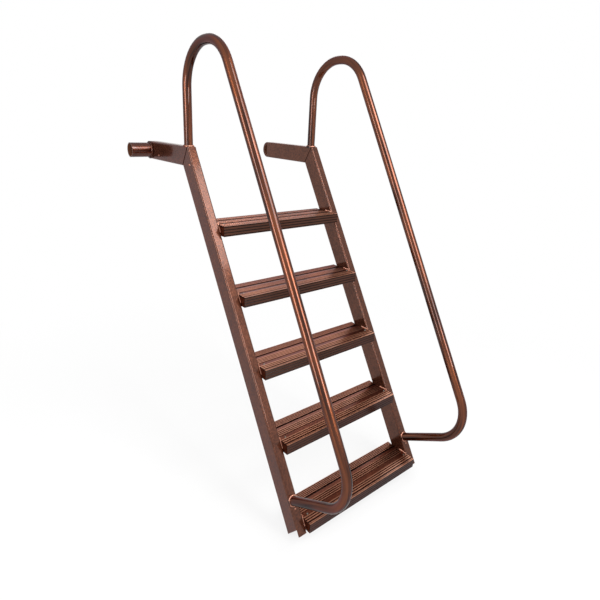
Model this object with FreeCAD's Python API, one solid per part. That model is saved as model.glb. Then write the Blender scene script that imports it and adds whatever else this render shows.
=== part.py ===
import FreeCAD, Part
import math
import os

from FreeCAD import Vector

# Dock ladder with five wide ribbed treads, two leaning side rails, two mounting arms that reach
# back over the dock, a pivot tube at the end of each arm, and two bent handrails.
# Frame: X runs across the ladder from the climber's left to right, Y runs towards the dock and Z up.
# The origin lies on the underside of the left arm, on its centre line.
# Units are millimetres and degrees.

# Overall ladder
LADDER_WIDTH = 668.0
RAIL_LEAN = 31.0
RAIL_LENGTH = 1503.0

# Rectangular tube of the rails and arms
STOCK_WIDTH = 38.0
STOCK_DEPTH = 75.0
STOCK_WALL = 3.0
STOCK_CORNER = 6.0

# Mounting arms
ARM_REACH = 350.0
SEAT_TO_PIVOT = 150.0
COPE_LENGTH = 12.0

# Slanted drain cut at the foot of each rail
FOOT_CUT_RISE = 26.0

# Sleeve and pivot tube at the end of each arm
SLEEVE_DIAMETER = 74.0
SLEEVE_PROUD = 4.0
PIVOT_DIAMETER = 60.3
PIVOT_SEAT_DIAMETER = 59.7
PIVOT_WALL = 3.9
PIVOT_PROTRUSION = 91.0
PIVOT_CLEARANCE = 0.15
PIVOT_WELD_LEG = 4.0

# Handrails
HANDRAIL_DIAMETER = 34.0
HANDRAIL_WALL = 3.0
HANDRAIL_SETBACK = 25.0
HANDRAIL_POST_HEIGHT = 210.0
HANDRAIL_BEND = 150.0
HANDRAIL_CROWN = 13.0
HANDRAIL_LEAN = 30.0
HANDRAIL_TAIL_HEIGHT = 125.0

# Fillet welds where the handrails meet the rectangular tubes
WELD_LEG = 4.5
WELD_HEIGHT = 5.0

# Treads
TREAD_COUNT = 5
TREAD_RISE = 240.0
LOWEST_TREAD_RISE = 246.0
LOWEST_TREAD_HEIGHT = 48.0
TREAD_DEPTH = 146.0
TREAD_OVERHANG = 42.0
TREAD_PLATE = 4.0
TREAD_BACK_LIP = 22.0

# Ribs along a tread's top, in three bands behind the nose
RIB_HEIGHT = 2.5
RIB_TAPER = 0.8
NOSE_LAND = 8.0
FRONT_BAND_START = 14.7
FRONT_RIBS = 3
FRONT_RIB_PITCH = 9.7
FRONT_RIB_LAND = 4.8
MIDDLE_BAND_START = 59.9
MIDDLE_RIBS = 4
MIDDLE_RIB_PITCH = 8.7
MIDDLE_RIB_LAND = 4.4
BACK_BAND_START = 112.0
BACK_RIBS = 5
BACK_RIB_PITCH = 7.1
BACK_RIB_LAND = 3.2
SEAM_START = 106.0
SEAM_WIDTH = 4.6
SEAM_DEPTH = 2.0

# Nose of a tread
NOSE_HEIGHT = 41.0
NOSE_WALL = 4.0
NOSE_RETURN = 14.0
FASCIA_GROOVES = 4
FASCIA_GROOVE_INSET = 4.0
FASCIA_GROOVE_DEPTH = 1.2
FASCIA_GROOVE_WIDTH = 2.4
CAP_THICKNESS = 3.0
CAP_LAP = 18.0

# Places worked out from the sizes above
LEAN = math.radians(RAIL_LEAN)
RUN_LEAN = math.radians(HANDRAIL_LEAN)
DOWN_RAIL = Vector(0, -math.sin(LEAN), -math.cos(LEAN))
OFF_RAIL = Vector(0, -math.cos(LEAN), math.sin(LEAN))
MIDDLE_X = (LADDER_WIDTH - STOCK_WIDTH) / 2
HALF_STOCK = STOCK_WIDTH / 2
PIVOT_Y = SEAT_TO_PIVOT
PIVOT_Z = STOCK_DEPTH / 2
CORNER = Vector(0, PIVOT_Y - ARM_REACH, STOCK_DEPTH)
INNER_CORNER = CORNER + Vector(0, STOCK_DEPTH * (1 - math.sin(LEAN)) / math.cos(LEAN), -STOCK_DEPTH)
X_AXIS = Vector(1, 0, 0)
Z_AXIS = Vector(0, 0, 1)
SPARE = 10.0
BEYOND = 4000.0


def mirrored(shape):
    """The same piece on the right side of the ladder."""
    return shape.mirror(Vector(MIDDLE_X, 0, 0), X_AXIS)


def save(name, shape):
    """Write one node, as clean solids."""
    if shape.ShapeType == "Compound" and len(shape.Solids) == 1:
        shape = shape.Solids[0]
    shape.exportStep("parts/" + name + ".step")


def save_pair(name, left_shape):
    """Write the left piece and its mirror image."""
    save(name + "_left", left_shape)
    save(name + "_right", mirrored(left_shape))


def rounded_rectangle(centre, along_x, along_depth, width, depth, radius):
    """A closed wire round a rectangle with round corners."""
    def corner(side_x, side_depth, pull_x, pull_depth):
        across = along_x * (side_x * (width / 2 - pull_x))
        deep = along_depth * (side_depth * (depth / 2 - pull_depth))
        return centre + across + deep

    edges = []
    slack = radius * (1 - math.sqrt(0.5))
    turns = [(1, 1), (-1, 1), (-1, -1), (1, -1)]
    for index, (side_x, side_depth) in enumerate(turns):
        starts_on_side = index % 2 == 0
        first = corner(side_x, side_depth, 0 if starts_on_side else radius, radius if starts_on_side else 0)
        middle = corner(side_x, side_depth, slack, slack)
        last = corner(side_x, side_depth, radius if starts_on_side else 0, 0 if starts_on_side else radius)
        edges.append(Part.Arc(first, middle, last).toShape())
        next_x, next_depth = turns[(index + 1) % 4]
        following = corner(next_x, next_depth, 0 if not starts_on_side else radius, radius if not starts_on_side else 0)
        edges.append(Part.LineSegment(last, following).toShape())
    return Part.Wire(edges)


def stock_envelope(start, direction, depth_direction, length):
    """The rectangular tube as a filled bar, from start along direction."""
    outline = rounded_rectangle(start, X_AXIS, depth_direction, STOCK_WIDTH, STOCK_DEPTH, STOCK_CORNER)
    return Part.Face(outline).extrude(direction * length)


def stock_bore(start, direction, depth_direction, length):
    """The hollow inside the rectangular tube."""
    inner_width = STOCK_WIDTH - 2 * STOCK_WALL
    inner_depth = STOCK_DEPTH - 2 * STOCK_WALL
    inner_corner = STOCK_CORNER - STOCK_WALL
    outline = rounded_rectangle(start, X_AXIS, depth_direction, inner_width, inner_depth, inner_corner)
    return Part.Face(outline).extrude(direction * length)


def half_space(point, into):
    """A large block that fills the side of a plane that into points to."""
    across = X_AXIS * BEYOND
    up = into.cross(across)
    corner = point - across * 0.5 - up * 0.5
    square = Part.makePolygon([corner, corner + across, corner + across + up, corner + up, corner])
    return Part.Face(square).extrude(into * BEYOND)


def polygon_prism(points, start_x, length):
    """A flat outline in the Y-Z plane, extruded along X."""
    loop = [Vector(start_x, y, z) for y, z in points]
    loop.append(loop[0])
    return Part.Face(Part.makePolygon(loop)).extrude(Vector(length, 0, 0))


def mitre_side(towards_arm):
    """The space on one side of the mitre between arm and rail."""
    seam = INNER_CORNER - CORNER
    seam.normalize()
    normal = X_AXIS.cross(seam)
    if (normal.y > 0) != towards_arm:
        normal = normal * -1
    return half_space(CORNER, normal)


def rail_start():
    """A point on the rail's centre line, above the mitre."""
    return CORNER - OFF_RAIL * (STOCK_DEPTH / 2) - DOWN_RAIL * STOCK_DEPTH


def rail_envelope():
    """The rail's outside as a filled bar, with its mitre."""
    bar = stock_envelope(rail_start(), DOWN_RAIL, OFF_RAIL, RAIL_LENGTH + STOCK_DEPTH)
    return bar.cut(mitre_side(towards_arm=True))


def make_rail():
    """Leaning rectangular tube: mitred at the top, open and slant-cut at the foot."""
    bore = stock_bore(rail_start() - DOWN_RAIL * SPARE, DOWN_RAIL, OFF_RAIL,
                      RAIL_LENGTH + STOCK_DEPTH + 2 * SPARE)
    rail = rail_envelope().cut(bore)
    foot = CORNER + DOWN_RAIL * RAIL_LENGTH
    notch_top = foot - OFF_RAIL * STOCK_WALL - DOWN_RAIL * FOOT_CUT_RISE
    notch_front = foot - OFF_RAIL * STOCK_WALL + DOWN_RAIL * SPARE
    back = foot - OFF_RAIL * STOCK_DEPTH
    past_back = back + DOWN_RAIL * SPARE
    outline = [(point.y, point.z) for point in (notch_top, back, past_back, notch_front)]
    return rail.cut(polygon_prism(outline, -STOCK_WIDTH, 2 * STOCK_WIDTH))


def arm_envelope():
    """The arm's outside as a filled bar, with its mitre."""
    start = CORNER + Vector(0, -STOCK_DEPTH, -STOCK_DEPTH / 2)
    bar = stock_envelope(start, Vector(0, 1, 0), Z_AXIS, ARM_REACH + STOCK_DEPTH)
    return bar.cut(mitre_side(towards_arm=False))


def make_arm():
    """Level rectangular tube: mitred to the rail, coped round the sleeve, with a cheek inside."""
    start = CORNER + Vector(0, -STOCK_DEPTH - SPARE, -STOCK_DEPTH / 2)
    bore = stock_bore(start, Vector(0, 1, 0), Z_AXIS, ARM_REACH + STOCK_DEPTH + 2 * SPARE)
    arm = arm_envelope().cut(bore)
    cheek_x = HALF_STOCK - STOCK_WALL
    cope = Part.makeCylinder(SLEEVE_DIAMETER / 2, cheek_x + HALF_STOCK + SPARE,
                             Vector(-HALF_STOCK - SPARE, PIVOT_Y, PIVOT_Z), X_AXIS)
    trim = Part.makeBox(cheek_x + HALF_STOCK + SPARE, COPE_LENGTH + SPARE, STOCK_DEPTH + 2 * SPARE,
                        Vector(-HALF_STOCK - SPARE, PIVOT_Y - COPE_LENGTH, -SPARE))
    return arm.cut(cope).cut(trim)


def tube_along_x(outer_diameter, inner_diameter, start_x, end_x):
    """A round tube on the pivot axis."""
    start = Vector(start_x, PIVOT_Y, PIVOT_Z)
    length = end_x - start_x
    outer = Part.makeCylinder(outer_diameter / 2, length, start, X_AXIS)
    return outer.cut(Part.makeCylinder(inner_diameter / 2, length, start, X_AXIS))


def sleeve_face_x():
    """Where the left sleeve ends, on the outer side of its arm."""
    return -HALF_STOCK - SLEEVE_PROUD


def make_sleeve():
    """Short thick tube across the end of the arm, which carries the pivot tube."""
    bore = PIVOT_SEAT_DIAMETER + 2 * PIVOT_CLEARANCE
    return tube_along_x(SLEEVE_DIAMETER, bore, sleeve_face_x(), HALF_STOCK - STOCK_WALL)


def make_pivot_tube():
    """Open round tube that sticks out sideways into the dock's bracket.

    Its inner end is turned down to seat in the sleeve, and a fillet weld closes the joint.
    """
    bore = PIVOT_DIAMETER - 2 * PIVOT_WALL
    seat = tube_along_x(PIVOT_SEAT_DIAMETER, bore, sleeve_face_x(), HALF_STOCK - STOCK_WALL)
    free = tube_along_x(PIVOT_DIAMETER, bore, -HALF_STOCK - PIVOT_PROTRUSION, sleeve_face_x())
    radius = PIVOT_DIAMETER / 2
    weld_end = Vector(sleeve_face_x() - PIVOT_WELD_LEG, PIVOT_Y, PIVOT_Z)
    weld = Part.makeCone(radius, radius + PIVOT_WELD_LEG, PIVOT_WELD_LEG, weld_end, X_AXIS)
    core = Part.makeCylinder(radius, PIVOT_WELD_LEG, weld_end, X_AXIS)
    return seat.fuse([free, weld.cut(core)])


def handrail_points():
    """Ends and bend middles of the handrail's centre line, from the arm down to the rail."""
    run = Vector(0, -math.sin(RUN_LEAN), -math.cos(RUN_LEAN))
    run_out = Vector(0, -math.cos(RUN_LEAN), math.sin(RUN_LEAN))
    foot = CORNER + Vector(0, HANDRAIL_SETBACK, -STOCK_CORNER)
    post_top = CORNER + Vector(0, HANDRAIL_SETBACK, HANDRAIL_POST_HEIGHT)
    first_centre = post_top + Vector(0, -HANDRAIL_BEND, 0)
    second_centre = first_centre + Vector(0, -HANDRAIL_CROWN, 0)
    run_top = second_centre + run_out * HANDRAIL_BEND
    tail_line = CORNER + DOWN_RAIL * (RAIL_LENGTH - HANDRAIL_TAIL_HEIGHT)
    gap = (tail_line - run_top).dot(DOWN_RAIL)
    turn_reach = HANDRAIL_BEND * (1 - math.sin(LEAN - RUN_LEAN))
    run_length = (gap - turn_reach) / run.dot(DOWN_RAIL)
    run_bottom = run_top + run * run_length
    low_centre = run_bottom - run_out * HANDRAIL_BEND
    tail_top = low_centre + DOWN_RAIL * HANDRAIL_BEND
    tail_end = tail_top - OFF_RAIL * ((tail_top - tail_line).dot(OFF_RAIL) + STOCK_CORNER)
    return {
        "foot": foot,
        "post_top": post_top,
        "first_centre": first_centre,
        "crown_start": first_centre + Z_AXIS * HANDRAIL_BEND,
        "crown_end": second_centre + Z_AXIS * HANDRAIL_BEND,
        "second_centre": second_centre,
        "run_top": run_top,
        "run_bottom": run_bottom,
        "low_centre": low_centre,
        "tail_top": tail_top,
        "tail_end": tail_end,
    }


def bend_arc(start, centre, end):
    """The arc from start to end round centre."""
    middle = (start - centre) + (end - centre)
    middle.normalize()
    return Part.Arc(start, centre + middle * HANDRAIL_BEND, end).toShape()


def pipe(path, start, radius):
    """A round bar swept along a path that starts upwards."""
    circle = Part.Wire([Part.makeCircle(radius, start, Z_AXIS)])
    return path.makePipeShell([circle], True, True)


def end_weld(base, axis):
    """The fillet weld round a handrail's end, reaching down past the flat tube's round corners."""
    radius = HANDRAIL_DIAMETER / 2
    skirt = Part.makeCylinder(radius + WELD_LEG, STOCK_CORNER, base - axis * STOCK_CORNER, axis)
    cone = Part.makeCone(radius + WELD_LEG, radius, WELD_HEIGHT, base, axis)
    reach = 2 * HANDRAIL_DIAMETER
    flanks = Part.makeBox(STOCK_WIDTH, 2 * reach, 2 * reach, base - Vector(HALF_STOCK, reach, reach))
    return skirt.fuse(cone).common(flanks)


def make_handrail():
    """One bent round tube: post, crown, long leaning run, lower bend and tail, welded at both ends."""
    at = handrail_points()
    path = Part.Wire([
        Part.LineSegment(at["foot"], at["post_top"]).toShape(),
        bend_arc(at["post_top"], at["first_centre"], at["crown_start"]),
        Part.LineSegment(at["crown_start"], at["crown_end"]).toShape(),
        bend_arc(at["crown_end"], at["second_centre"], at["run_top"]),
        Part.LineSegment(at["run_top"], at["run_bottom"]).toShape(),
        bend_arc(at["run_bottom"], at["low_centre"], at["tail_top"]),
        Part.LineSegment(at["tail_top"], at["tail_end"]).toShape(),
    ])
    outer = pipe(path, at["foot"], HANDRAIL_DIAMETER / 2)
    post_base = at["foot"] + Z_AXIS * STOCK_CORNER
    tail_base = at["tail_end"] + OFF_RAIL * STOCK_CORNER
    outer = outer.fuse([end_weld(post_base, Z_AXIS), end_weld(tail_base, OFF_RAIL)])
    inner = pipe(path, at["foot"], HANDRAIL_DIAMETER / 2 - HANDRAIL_WALL)
    return outer.cut(inner).cut(arm_envelope()).cut(rail_envelope())


def tread_front(index):
    """The nose's top front edge of one tread, counted from 0 at the top."""
    height = LOWEST_TREAD_HEIGHT
    if index < TREAD_COUNT - 1:
        height += LOWEST_TREAD_RISE + (TREAD_COUNT - 2 - index) * TREAD_RISE
    drop = RAIL_LENGTH * math.cos(LEAN) - height
    return Vector(0, CORNER.y - drop * math.tan(LEAN) - TREAD_OVERHANG, CORNER.z - drop)


def rib_row(start, count, pitch, land):
    """Points along the tread's top for a band of ribs, each a land with tapered flanks."""
    points = []
    for number in range(count):
        front = start + number * pitch
        points.append((front, -RIB_HEIGHT))
        points.append((front + RIB_TAPER, 0))
        points.append((front + RIB_TAPER + land, 0))
        points.append((front + 2 * RIB_TAPER + land, -RIB_HEIGHT))
    return points


def seam_groove():
    """Points of the deep groove in front of the back band."""
    low = -RIB_HEIGHT - SEAM_DEPTH
    end = SEAM_START + SEAM_WIDTH
    return [(SEAM_START, -RIB_HEIGHT), (SEAM_START, low), (end, low), (end, -RIB_HEIGHT)]


def fascia_grooves():
    """Points down the nose's front face, from its foot up."""
    points = []
    spacing = (NOSE_HEIGHT - 2 * FASCIA_GROOVE_INSET) / (FASCIA_GROOVES - 1)
    for number in range(FASCIA_GROOVES):
        middle = -NOSE_HEIGHT + FASCIA_GROOVE_INSET + number * spacing
        points.append((0, middle - FASCIA_GROOVE_WIDTH / 2))
        points.append((FASCIA_GROOVE_DEPTH, middle))
        points.append((0, middle + FASCIA_GROOVE_WIDTH / 2))
    return points


def tread_outline():
    """The tread extrusion's section as (distance behind the nose, height) points."""
    top = [(0, 0), (NOSE_LAND, 0), (NOSE_LAND + RIB_TAPER, -RIB_HEIGHT)]
    top += rib_row(FRONT_BAND_START, FRONT_RIBS, FRONT_RIB_PITCH, FRONT_RIB_LAND)
    top += rib_row(MIDDLE_BAND_START, MIDDLE_RIBS, MIDDLE_RIB_PITCH, MIDDLE_RIB_LAND)
    top += seam_groove()
    top += rib_row(BACK_BAND_START, BACK_RIBS, BACK_RIB_PITCH, BACK_RIB_LAND)
    under = -RIB_HEIGHT - TREAD_PLATE
    back = [
        (TREAD_DEPTH, -RIB_HEIGHT),
        (TREAD_DEPTH, -TREAD_BACK_LIP),
        (TREAD_DEPTH - TREAD_PLATE, -TREAD_BACK_LIP),
        (TREAD_DEPTH - TREAD_PLATE, under),
    ]
    nose = [
        (NOSE_WALL, under),
        (NOSE_WALL, -NOSE_HEIGHT + NOSE_WALL),
        (NOSE_RETURN, -NOSE_HEIGHT + NOSE_WALL),
        (NOSE_RETURN, -NOSE_HEIGHT),
        (0, -NOSE_HEIGHT),
    ]
    return top + back + nose + fascia_grooves()


def tread_left_x():
    """Where a tread starts, at the left rail's inner face."""
    return HALF_STOCK


def tread_length():
    """A tread's length between the two rails' inner faces."""
    return LADDER_WIDTH - 2 * STOCK_WIDTH


def make_tread(index):
    """One ribbed tread with its deep nose."""
    front = tread_front(index)
    outline = [(front.y + behind, front.z + height) for behind, height in tread_outline()]
    return polygon_prism(outline, tread_left_x(), tread_length())


def make_nose_cap(index):
    """Plate that closes the left end of a nose and laps the rail's flat inner side."""
    front = tread_front(index)
    top_z = front.z - RIB_HEIGHT - TREAD_PLATE
    low_z = front.z - NOSE_HEIGHT
    return_z = low_z + NOSE_WALL
    front_y = front.y + NOSE_WALL
    return_y = front.y + NOSE_RETURN

    def rear_y(z):
        return CORNER.y - (CORNER.z - z) * math.tan(LEAN) + CAP_LAP

    outline = [
        (front_y, top_z),
        (rear_y(top_z), top_z),
        (rear_y(low_z), low_z),
        (return_y, low_z),
        (return_y, return_z),
        (front_y, return_z),
    ]
    return polygon_prism(outline, tread_left_x(), CAP_THICKNESS)


def build():
    """Make every node."""
    os.makedirs("parts", exist_ok=True)
    save_pair("rail", make_rail())
    save_pair("arm", make_arm())
    save_pair("sleeve", make_sleeve())
    save_pair("pivot_tube", make_pivot_tube())
    save_pair("handrail", make_handrail())
    for index in range(TREAD_COUNT):
        number = str(index + 1)
        save("tread_" + number, make_tread(index))
        save_pair("nose_cap_" + number, make_nose_cap(index))


build()
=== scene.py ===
"""Dock ladder with wide ribbed treads and bent handrails, finished in an antique copper coat.

The frame's nodes carry every rail, arm, tube and tread. This file gives them their finish and
adds the weld beads, screws, rivets, weep holes and mitre seams that belong on them.
"""

from __future__ import annotations

import logging
import math
from dataclasses import dataclass, field
from enum import Enum

import bpy
from mathutils import Matrix, Vector


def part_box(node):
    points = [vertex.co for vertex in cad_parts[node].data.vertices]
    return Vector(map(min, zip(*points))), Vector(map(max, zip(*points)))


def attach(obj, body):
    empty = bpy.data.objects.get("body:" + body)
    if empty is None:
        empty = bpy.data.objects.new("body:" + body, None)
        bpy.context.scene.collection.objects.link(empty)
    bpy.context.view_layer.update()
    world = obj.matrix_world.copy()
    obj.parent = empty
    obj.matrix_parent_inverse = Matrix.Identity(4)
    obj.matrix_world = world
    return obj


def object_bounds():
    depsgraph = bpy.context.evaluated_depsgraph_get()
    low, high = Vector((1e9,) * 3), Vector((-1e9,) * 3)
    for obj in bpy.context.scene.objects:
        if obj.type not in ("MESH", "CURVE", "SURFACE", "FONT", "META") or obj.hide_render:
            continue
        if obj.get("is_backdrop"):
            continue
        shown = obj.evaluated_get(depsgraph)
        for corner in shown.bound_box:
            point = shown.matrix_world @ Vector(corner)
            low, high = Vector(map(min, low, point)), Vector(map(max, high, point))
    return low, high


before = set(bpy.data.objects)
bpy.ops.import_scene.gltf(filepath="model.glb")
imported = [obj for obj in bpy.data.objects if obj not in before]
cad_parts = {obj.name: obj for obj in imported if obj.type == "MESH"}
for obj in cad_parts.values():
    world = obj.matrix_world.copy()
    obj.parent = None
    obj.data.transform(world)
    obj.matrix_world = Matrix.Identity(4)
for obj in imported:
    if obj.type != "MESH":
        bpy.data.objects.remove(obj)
LOG = logging.getLogger("dock_ladder")
MM = 0.001
BLACK = (0.0, 0.0, 0.0, 1.0)
WHITE = (1.0, 1.0, 1.0, 1.0)
NodeTree = bpy.types.NodeTree
Socket = bpy.types.NodeSocket

# A colour Mix node's sockets go by number, because those of its other data types have the same names.
FACTOR = 0
FIRST = 6
SECOND = 7
MIXED = 2

# Lengths are in mm. The rails lean by LEAN, run along RAIL_DOWN and face RAIL_OUT, and RAIL_CORNER is the
# top front corner of the left one, in its middle plane.
LEAN = math.radians(31.0)
RAIL_DOWN = Vector((0, -math.sin(LEAN), -math.cos(LEAN)))
RAIL_OUT = Vector((0, -math.cos(LEAN), math.sin(LEAN)))
RAIL_CORNER = Vector((0, -200.0, 75.0))
STOCK_WIDTH = 38.0
STOCK_DEPTH = 75.0
RAIL_SPACING = 630.0
TREAD_NAMES = ("tread_1", "tread_2", "tread_3", "tread_4", "tread_5")

# A face looks up when its unit normal has more Z than this, and a weld is smooth up to this angle.
LOOKS_UP = 0.9
WELD_SMOOTH_DEG = 60.0


class Side(Enum):
    """The two sides of the ladder, as the climber sees them."""

    LEFT = "left"
    RIGHT = "right"

    @property
    def outward(self) -> float:
        """The sign of X that points away from the ladder's middle."""
        return -1.0 if self is Side.LEFT else 1.0

    @property
    def rail_x(self) -> float:
        """Where the rail's centre line stands, in mm."""
        return 0.0 if self is Side.LEFT else RAIL_SPACING

    def inner_face(self) -> float:
        """Where the rail's inner face stands, in mm."""
        return self.rail_x - self.outward * STOCK_WIDTH / 2

    def outer_face(self) -> float:
        """Where the rail's outer face stands, in mm."""
        return self.rail_x + self.outward * STOCK_WIDTH / 2


class Surface(Enum):
    """How a coated piece was made, which decides the grain under its coat."""

    DRAWN_TUBE = "drawn tube"
    ROUND_PIPE = "round pipe"
    OPEN_TUBE = "open tube"
    CAP_PLATE = "cap plate"
    WELD = "weld"
    SEAM = "ground seam"


def linear(hex_colour: str) -> tuple[float, float, float, float]:
    """Turn an sRGB hex colour to linear light.

    Args:
        hex_colour: A colour such as "#5f4338".

    Returns:
        Red, green, blue and an alpha of 1.
    """
    levels = [int(hex_colour[start:start + 2], 16) / 255 for start in (1, 3, 5)]
    # The curve that the sRGB standard gives.
    red, green, blue = [v / 12.92 if v <= 0.04045 else ((v + 0.055) / 1.055) ** 2.4 for v in levels]
    return red, green, blue, 1.0


def add_node(tree: NodeTree, kind: str, inputs: dict[str | int, object] | None = None,
             **settings: object) -> bpy.types.Node:
    """Add a shader node with its settings, values and links.

    Args:
        tree: The node tree that gets the node.
        kind: The node's type name.
        inputs: Socket names or numbers, each with a value or with an output socket to link.
        settings: The node's own attributes.

    Returns:
        The new node.
    """
    node = tree.nodes.new(kind)
    for name, value in settings.items():
        setattr(node, name, value)
    for socket, value in (inputs or {}).items():
        if isinstance(value, bpy.types.NodeSocket):
            tree.links.new(value, node.inputs[socket])
        else:
            node.inputs[socket].default_value = value
    return node


def empty_material(name: str) -> bpy.types.Material:
    """Make a material whose node tree is empty.

    Args:
        name: The material's name.

    Returns:
        The material.
    """
    material = bpy.data.materials.new(name)
    material.use_nodes = True
    material.node_tree.nodes.clear()
    return material


@dataclass(frozen=True)
class AntiqueCopperCoat:
    """A metallic copper powder coat on welded aluminium.

    To the eye it is a dark red-brown metal with a fine orange-peel grain: the pits stay near black-brown,
    the high spots show copper, and a thin clear layer gives soft pinkish reflections.

    Attributes:
        pit_colour: The dark brown in the pits of the grain.
        copper_colour: The copper on the grain's high spots.
        edge_colour: The tint of the metal where it turns away from the eye.
        grain_mm: Size of one cell of the grain. The real one is about 1 mm and would not show.
        cloud_mm: Size of the soft darker and lighter clouds.
        grain_depth_mm: Height of the grain.
        roughness: Roughness of the metallic layer.
        gloss: Weight of the clear layer over it.
        gloss_roughness: Roughness of the clear layer.
        metal: How metallic the coat is, 1 where no pigment dulls it.
        streak: Scale of the grain and clouds along Y and Z, under 1 where they are drawn out. They keep their
            size along X alone, so that they follow a tube that is bent in the YZ plane.
        grain_detail: How many finer layers the grain has.
        cloud_detail: How many finer layers the clouds have.
        finer_share: How strong each finer layer is against the one before.
        grain_span: The noise levels of the full pits and of the full high spots.
        cloud_span: The noise levels of the darkest and of the lightest clouds.
        cloud_shades: What those two multiply the colour by.
    """

    pit_colour: str
    copper_colour: str
    edge_colour: str
    grain_mm: float
    cloud_mm: float
    grain_depth_mm: float
    roughness: float
    gloss: float
    gloss_roughness: float
    metal: float = 1.0
    streak: float = 1.0
    grain_detail: float = 2.0
    cloud_detail: float = 3.0
    finer_share: float = 0.6
    grain_span: tuple[float, float] = (0.34, 0.66)
    cloud_span: tuple[float, float] = (0.3, 0.7)
    cloud_shades: tuple[float, float] = (0.84, 1.16)

    def material(self, name: str, **place: float) -> bpy.types.Material:
        """Build the coat's material.

        Args:
            name: What the material is called.
            place: Where the piece stands, for a coat that follows its shape.

        Returns:
            A node material that reads Object coordinates.
        """
        material = empty_material(name)
        tree = material.node_tree
        where = add_node(tree, "ShaderNodeTexCoord").outputs["Object"]
        drawn = add_node(tree, "ShaderNodeMapping", {
            "Vector": where, "Scale": (1, self.streak, self.streak)}).outputs["Vector"]
        grain = add_node(tree, "ShaderNodeTexNoise", {
            "Vector": drawn, "Scale": 1 / (self.grain_mm * MM),
            "Detail": self.grain_detail, "Roughness": self.finer_share})
        clouds = add_node(tree, "ShaderNodeTexNoise", {
            "Vector": drawn, "Scale": 1 / (self.cloud_mm * MM),
            "Detail": self.cloud_detail, "Roughness": self.finer_share})
        spread = add_node(tree, "ShaderNodeMapRange", {
            "Value": grain.outputs["Fac"], "From Min": self.grain_span[0], "From Max": self.grain_span[1]})
        mottled = add_node(tree, "ShaderNodeMix", {
            FACTOR: spread.outputs["Result"], FIRST: linear(self.pit_colour),
            SECOND: linear(self.copper_colour)}, data_type="RGBA")
        drift = add_node(tree, "ShaderNodeMapRange", {
            "Value": clouds.outputs["Fac"], "From Min": self.cloud_span[0], "From Max": self.cloud_span[1],
            "To Min": self.cloud_shades[0], "To Max": self.cloud_shades[1]})
        colour = add_node(tree, "ShaderNodeMix", {
            FACTOR: 1.0, FIRST: self.base_colour(tree, where, mottled.outputs[MIXED], **place),
            SECOND: drift.outputs["Result"]}, data_type="RGBA", blend_type="MULTIPLY", clamp_result=True)
        bump = add_node(tree, "ShaderNodeBump", {
            "Height": grain.outputs["Fac"], "Distance": self.grain_depth_mm * MM, "Strength": 1.0})
        shader = add_node(tree, "ShaderNodeBsdfPrincipled", {
            "Base Color": colour.outputs[MIXED], "Metallic": self.metallic(tree, where),
            "Roughness": self.roughness, "Specular Tint": linear(self.edge_colour),
            "Coat Weight": self.clear_layer(tree, where), "Coat Roughness": self.gloss_roughness,
            "Normal": bump.outputs["Normal"]})
        add_node(tree, "ShaderNodeOutputMaterial", {"Surface": shader.outputs["BSDF"]})
        return material

    def base_colour(self, tree: NodeTree, where: Socket, mottled: Socket, **place: float) -> Socket:
        """Give the colour under the clouds, which is the mottled grain itself on a plain piece."""
        return mottled

    def metallic(self, tree: NodeTree, where: Socket) -> float | Socket:
        """Give how metallic the coat is, which is the same all over on a plain piece."""
        return self.metal

    def clear_layer(self, tree: NodeTree, where: Socket) -> float | Socket:
        """Give the clear layer's weight, which is the same all over on a plain piece."""
        return self.gloss


@dataclass(frozen=True)
class OpenTubeCoat(AntiqueCopperCoat):
    """The same coat on a tube whose bore is open to the eye. Inside, it is a thin dull overspray.

    Attributes:
        bore_colour: The dull brown in the bore.
        axis_mm: Y and Z of the tube's axis, which lies along X.
        bore_mm: Radius within which a surface lies in the bore.
    """

    bore_colour: str = "#66402f"
    axis_mm: tuple[float, float] = (150.0, 37.5)
    bore_mm: float = 26.8

    def outside_bore(self, tree: NodeTree, where: Socket) -> Socket:
        """Tell the tube's outside from its bore.

        Args:
            tree: The material's node tree.
            where: The Object coordinates.

        Returns:
            A socket that is 1 outside and 0 in the bore.
        """
        axis = (0, self.axis_mm[0] * MM, self.axis_mm[1] * MM)
        across = add_node(tree, "ShaderNodeVectorMath", {0: where, 1: (0, 1, 1)}, operation="MULTIPLY")
        reach = add_node(tree, "ShaderNodeVectorMath", {
            0: across.outputs["Vector"], 1: axis}, operation="DISTANCE")
        outside = add_node(tree, "ShaderNodeMath", {
            0: reach.outputs["Value"], 1: self.bore_mm * MM}, operation="GREATER_THAN")
        return outside.outputs["Value"]

    def base_colour(self, tree: NodeTree, where: Socket, mottled: Socket, **place: float) -> Socket:
        """Show the dull overspray in the bore."""
        coloured = add_node(tree, "ShaderNodeMix", {
            FACTOR: self.outside_bore(tree, where), FIRST: linear(self.bore_colour), SECOND: mottled},
            data_type="RGBA")
        return coloured.outputs[MIXED]

    def metallic(self, tree: NodeTree, where: Socket) -> float | Socket:
        """Make the overspray in the bore dull and the rest metallic."""
        return self.outside_bore(tree, where)

    def clear_layer(self, tree: NodeTree, where: Socket) -> float | Socket:
        """Leave the clear layer off in the bore, where the spray doesn't reach."""
        glossy = add_node(tree, "ShaderNodeMath", {
            0: self.outside_bore(tree, where), 1: self.gloss}, operation="MULTIPLY")
        return glossy.outputs["Value"]


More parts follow.
